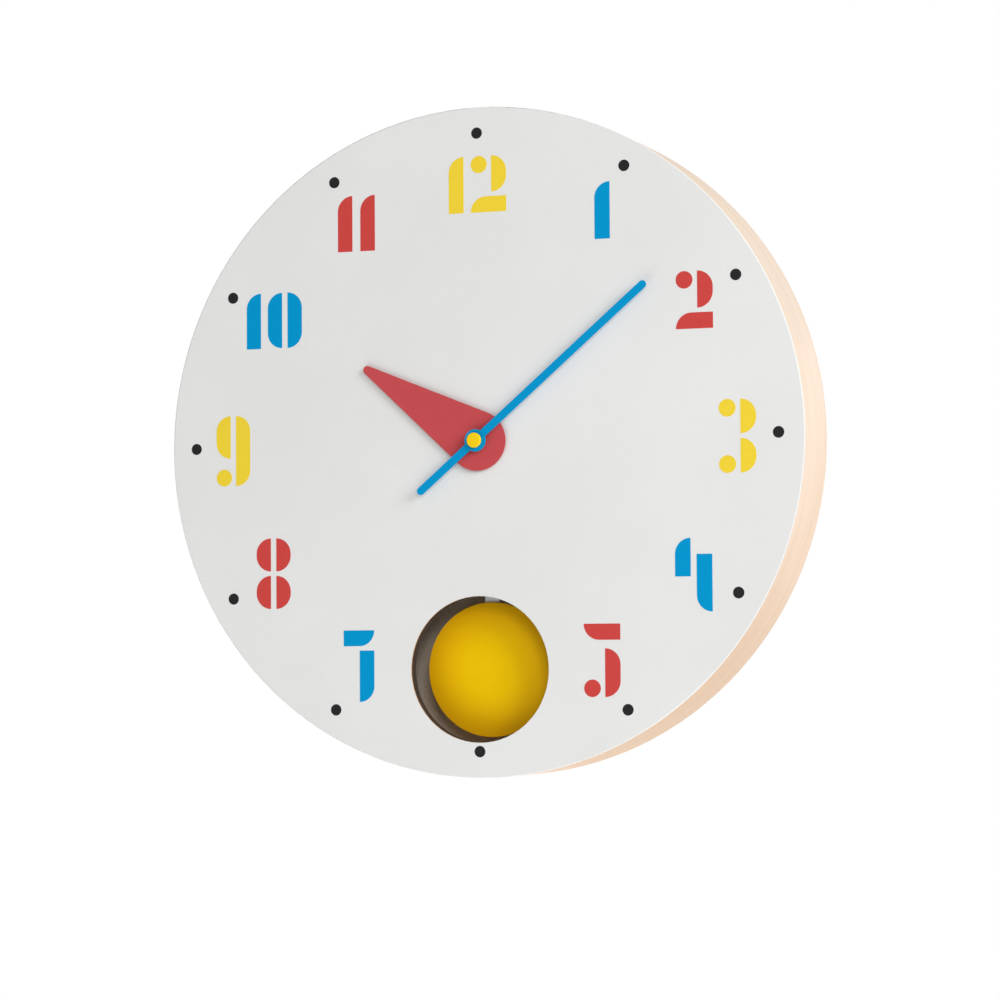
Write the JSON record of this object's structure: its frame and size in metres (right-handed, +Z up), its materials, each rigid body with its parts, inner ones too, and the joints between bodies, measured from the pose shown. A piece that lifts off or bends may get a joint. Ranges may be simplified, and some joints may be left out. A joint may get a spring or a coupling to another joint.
{
  "type": "pendulum wall clock",
  "caption": "Round wall clock with a pale wooden case, coloured printed numerals, drop-shaped hour hand and a round yellow pendulum bob behind a window in the dial.",
  "frame": {"origin": "where the hands' axis meets the wall plane, which the rear edge of the case ring rests on", "axes": "+Z up, +X to the right of someone facing the dial, +Y into the wall; the dial faces -Y"},
  "size_m": [0.3, 0.0451, 0.3],
  "materials": {
    "dial_white": "matte white laminate",
    "board_brown": "fibreboard with a dark cut edge",
    "case_wood": "pale bent wood, clear matte lacquer",
    "panel_brown": "bare pale fibreboard",
    "block_wood": "sawn softwood",
    "screw_steel": "bright zinc plate",
    "plated_steel": "nickel plate",
    "ink_yellow": "screen-printed ink",
    "ink_blue": "screen-printed ink",
    "ink_red": "screen-printed ink",
    "ink_black": "screen-printed ink",
    "movement_plastic": "moulded, fine spark texture",
    "nut_brass": "turned",
    "washer_rubber": "matte",
    "bobbin_plastic": "moulded",
    "coil_copper": "enamelled copper winding",
    "circuit_laminate": "circuit board with green solder mask",
    "chip_resin": "potting resin",
    "battery_jacket": "dark film with a plain copper-coloured band",
    "gear_plastic": "moulded acetal",
    "hand_red": "satin paint",
    "hand_blue": "satin paint",
    "cap_yellow": "gloss paint",
    "knob_plastic": "moulded",
    "magnet_metal": "nickel-plated magnet",
    "rod_painted": "white satin paint",
    "bob_yellow": "matte paint"
  },
  "bodies": {
    "case": {"face_sheet": "dial_white", "dial_board": "board_brown", "case_ring": "case_wood", "back_panel": "panel_brown", "glue_blocks": "block_wood", "back_panel_screws": "screw_steel", "hanger_plate": "plated_steel", "hanger_screws": "screw_steel", "print_yellow": "ink_yellow", "print_blue": "ink_blue", "print_red": "ink_red", "print_black": "ink_black", "movement_front_shell": "movement_plastic", "movement_rear_cover": "movement_plastic", "movement_screws": "screw_steel", "bush_nut": "nut_brass", "bush_washer": "nut_brass", "rubber_washer": "washer_rubber", "motor_stator": "plated_steel", "coil_bobbin": "bobbin_plastic", "motor_coil": "coil_copper", "circuit_board": "circuit_laminate", "quartz_crystal": "plated_steel", "driver_chip": "chip_resin", "battery": "battery_jacket", "contact_positive": "plated_steel", "contact_negative": "plated_steel", "pivot_pin": "screw_steel", "pendulum_coil": "coil_copper"},
    "minute_group": {"minute_arbor": "nut_brass", "centre_wheel": "gear_plastic", "minute_hand": "hand_blue", "cap_nut": "cap_yellow"},
    "hour_group": {"hour_wheel": "gear_plastic", "hour_hand": "hand_red"},
    "setting_group": {"motion_wheel": "gear_plastic", "setting_knob": "knob_plastic"},
    "third_wheel": {"third_wheel": "gear_plastic"},
    "seconds_wheel": {"seconds_wheel": "gear_plastic"},
    "intermediate_wheel": {"intermediate_wheel": "gear_plastic"},
    "rotor": {"rotor_pinion": "gear_plastic", "rotor_magnet": "magnet_metal"},
    "pendulum": {"pendulum_arm": "knob_plastic", "arm_magnet": "magnet_metal", "pendulum_rod": "rod_painted", "pendulum_bob": "bob_yellow", "bob_clip": "plated_steel", "bob_rivets": "screw_steel"}
  },
  "joints": [
    {"name": "minute_hand_turn", "type": "hinge", "parent": "case", "child": "minute_group", "pos_m": [0, -0.03, 0], "axis": [0, 1, 0], "continuous": true},
    {"name": "hour_hand_turn", "type": "hinge", "parent": "case", "child": "hour_group", "pos_m": [0, -0.03, 0], "axis": [0, 1, 0], "continuous": true},
    {"name": "setting_knob_turn", "type": "hinge", "parent": "case", "child": "setting_group", "pos_m": [0.0128, -0.024, 0], "axis": [0, 1, 0], "continuous": true},
    {"name": "third_wheel_turn", "type": "hinge", "parent": "case", "child": "third_wheel", "pos_m": [-0.00865, -0.024, 0.00865], "axis": [0, 1, 0], "continuous": true},
    {"name": "seconds_wheel_turn", "type": "hinge", "parent": "case", "child": "seconds_wheel", "pos_m": [0.00182, -0.024, 0.01354], "axis": [0, 1, 0], "continuous": true},
    {"name": "intermediate_wheel_turn", "type": "hinge", "parent": "case", "child": "intermediate_wheel", "pos_m": [0.01216, -0.024, 0.01172], "axis": [0, 1, 0], "continuous": true},
    {"name": "rotor_turn", "type": "hinge", "parent": "case", "child": "rotor", "pos_m": [0.02062, -0.024, 0.00864], "axis": [0, 1, 0], "continuous": true},
    {"name": "pendulum_swing", "type": "hinge", "parent": "case", "child": "pendulum", "pos_m": [0, -0.021, -0.034], "axis": [0, 1, 0], "range_deg": [-12, 12]}
  ],
  "couplings": [
    {"joint": "hour_hand_turn", "follows": "minute_hand_turn", "ratio": 0.083333},
    {"joint": "setting_knob_turn", "follows": "minute_hand_turn", "ratio": -0.33333},
    {"joint": "third_wheel_turn", "follows": "minute_hand_turn", "ratio": -8},
    {"joint": "seconds_wheel_turn", "follows": "minute_hand_turn", "ratio": 60},
    {"joint": "intermediate_wheel_turn", "follows": "minute_hand_turn", "ratio": -360},
    {"joint": "rotor_turn", "follows": "minute_hand_turn", "ratio": 1800}
  ]
}
